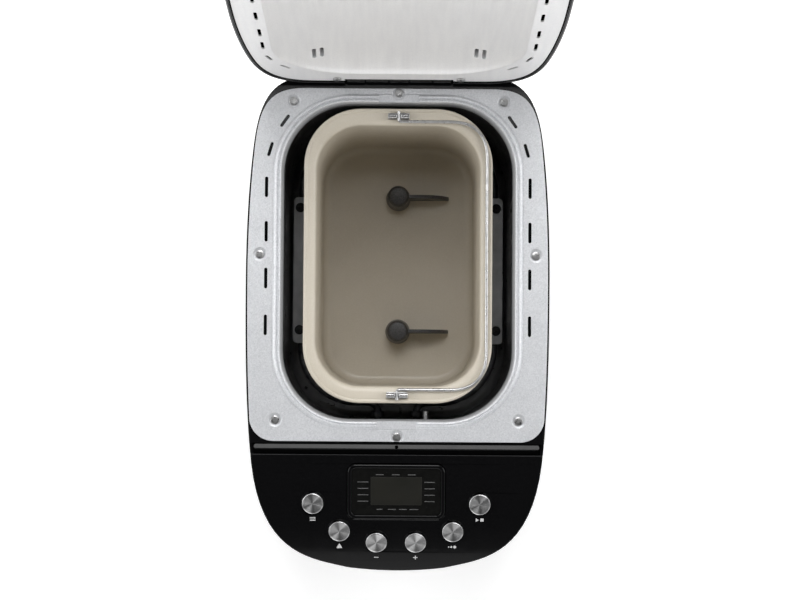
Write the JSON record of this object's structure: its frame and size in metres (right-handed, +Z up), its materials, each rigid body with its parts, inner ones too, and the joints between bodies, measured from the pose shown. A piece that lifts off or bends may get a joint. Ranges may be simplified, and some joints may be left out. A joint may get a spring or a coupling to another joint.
{
  "type": "bread machine",
  "caption": "Countertop bread machine with an open hinged lid, silver frame round a baking chamber, lift-out ceramic pan with a wire handle and a curved black control panel with round buttons.",
  "frame": {"origin": "on the floor, below the middle of the box that holds the machine with its lid open", "axes": "+Z up, -Y towards the control panel, +X to the right seen from the front"},
  "size_m": [0.25, 0.4847, 0.5448],
  "materials": {
    "gloss_black": "high gloss",
    "matte_black": "fine grain",
    "feet_rubber": "soft matt",
    "silver_paint": "fine sparkling silver",
    "bright_steel": "bright drawn steel",
    "button_metal": "spun with a polished edge",
    "display_window": "clear glossy window over a dark display",
    "circuit_board": "green solder mask",
    "chamber_steel": "dark heat-resistant coating, satin",
    "element_sheath": "heat-darkened steel",
    "motor_steel": "dark painted",
    "pulley_nylon": "natural nylon",
    "belt_rubber": "matt",
    "pan_coating": "cream ceramic coating, satin",
    "paddle_coating": "dark non-stick coating, satin"
  },
  "bodies": {
    "chassis": {"housing_shell": "gloss_black", "front_rail": "gloss_black", "control_panel": "gloss_black", "display_bezel": "gloss_black", "hinge_base": "gloss_black", "base_plate": "matte_black", "cable_gland": "matte_black", "foot_front_left": "feet_rubber", "foot_front_right": "feet_rubber", "foot_rear_left": "feet_rubber", "foot_rear_right": "feet_rubber", "top_frame": "silver_paint", "frame_screw_1": "bright_steel", "frame_screw_2": "bright_steel", "frame_screw_3": "bright_steel", "frame_screw_4": "bright_steel", "frame_screw_5": "bright_steel", "frame_screw_6": "bright_steel", "frame_screw_7": "bright_steel", "frame_screw_8": "bright_steel", "hinge_pin": "bright_steel", "temperature_sensor": "bright_steel", "pan_seat": "bright_steel", "display_lens": "display_window", "lcd_module": "display_window", "control_board": "circuit_board", "power_board": "circuit_board", "baking_chamber": "chamber_steel", "element_guard_left": "chamber_steel", "element_guard_right": "chamber_steel", "heating_element": "element_sheath", "motor": "motor_steel", "drive_belt": "belt_rubber", "link_belt": "belt_rubber"},
    "lid": {"lid_outer": "gloss_black", "lid_liner": "silver_paint", "hinge_leaf": "gloss_black", "lid_screw_left": "bright_steel", "lid_screw_right": "bright_steel"},
    "pan": {"bread_pan": "pan_coating", "handle_lug_front": "bright_steel", "handle_lug_rear": "bright_steel"},
    "handle": {"pan_handle": "bright_steel"},
    "front_paddle": {"pan_shaft_front": "bright_steel", "kneading_paddle_front": "paddle_coating"},
    "rear_paddle": {"pan_shaft_rear": "bright_steel", "kneading_paddle_rear": "paddle_coating"},
    "motor_rotor": {"motor_pulley": "pulley_nylon"},
    "front_drive": {"front_pulley": "pulley_nylon", "front_drive_shaft": "bright_steel"},
    "rear_drive": {"rear_pulley": "pulley_nylon", "rear_drive_shaft": "bright_steel"},
    "push_button_1": {"button_1": "button_metal"},
    "push_button_2": {"button_2": "button_metal"},
    "push_button_3": {"button_3": "button_metal"},
    "push_button_4": {"button_4": "button_metal"},
    "push_button_5": {"button_5": "button_metal"},
    "push_button_6": {"button_6": "button_metal"}
  },
  "joints": [
    {"name": "lid_hinge", "type": "hinge", "parent": "chassis", "child": "lid", "pos_m": [0, 0.164, 0.246], "axis": [-1, 0, 0], "range_deg": [-98, 0]},
    {"name": "pan_lift", "type": "slide", "parent": "chassis", "child": "pan", "axis": [0, 0, 1], "range_m": [0, 0.185]},
    {"name": "handle_swing", "type": "hinge", "parent": "pan", "child": "handle", "pos_m": [0, 0.018, 0.2382], "axis": [0, -1, 0], "range_deg": [0, 180]},
    {"name": "motor_spin", "type": "hinge", "parent": "chassis", "child": "motor_rotor", "pos_m": [0, -0.18, 0.03], "axis": [0, 0, 1], "continuous": true},
    {"name": "front_drive_spin", "type": "hinge", "parent": "chassis", "child": "front_drive", "pos_m": [0, -0.0421, 0.03], "axis": [0, 0, 1], "continuous": true},
    {"name": "rear_drive_spin", "type": "hinge", "parent": "chassis", "child": "rear_drive", "pos_m": [0, 0.0779, 0.03], "axis": [0, 0, 1], "continuous": true},
    {"name": "front_paddle_spin", "type": "hinge", "parent": "pan", "child": "front_paddle", "pos_m": [0, -0.0421, 0.03], "axis": [0, 0, 1], "continuous": true},
    {"name": "rear_paddle_spin", "type": "hinge", "parent": "pan", "child": "rear_paddle", "pos_m": [0, 0.0779, 0.03], "axis": [0, 0, 1], "continuous": true},
    {"name": "button_1_press", "type": "slide", "parent": "chassis", "child": "push_button_1", "axis": [0, 0.2211, -0.9753], "range_m": [0, 0.001], "stiffness_N_per_m": 1200},
    {"name": "button_2_press", "type": "slide", "parent": "chassis", "child": "push_button_2", "axis": [0, 0.3169, -0.9485], "range_m": [0, 0.001], "stiffness_N_per_m": 1200},
    {"name": "button_3_press", "type": "slide", "parent": "chassis", "child": "push_button_3", "axis": [0, 0.3557, -0.9346], "range_m": [0, 0.001], "stiffness_N_per_m": 1200},
    {"name": "button_4_press", "type": "slide", "parent": "chassis", "child": "push_button_4", "axis": [0, 0.3557, -0.9346], "range_m": [0, 0.001], "stiffness_N_per_m": 1200},
    {"name": "button_5_press", "type": "slide", "parent": "chassis", "child": "push_button_5", "axis": [0, 0.3169, -0.9485], "range_m": [0, 0.001], "stiffness_N_per_m": 1200},
    {"name": "button_6_press", "type": "slide", "parent": "chassis", "child": "push_button_6", "axis": [0, 0.2211, -0.9753], "range_m": [0, 0.001], "stiffness_N_per_m": 1200}
  ],
  "couplings": [
    {"joint": "motor_spin", "follows": "front_drive_spin", "ratio": 5},
    {"joint": "rear_drive_spin", "follows": "front_drive_spin", "ratio": 1},
    {"joint": "front_paddle_spin", "follows": "front_drive_spin", "ratio": 1},
    {"joint": "rear_paddle_spin", "follows": "front_drive_spin", "ratio": 1}
  ]
}
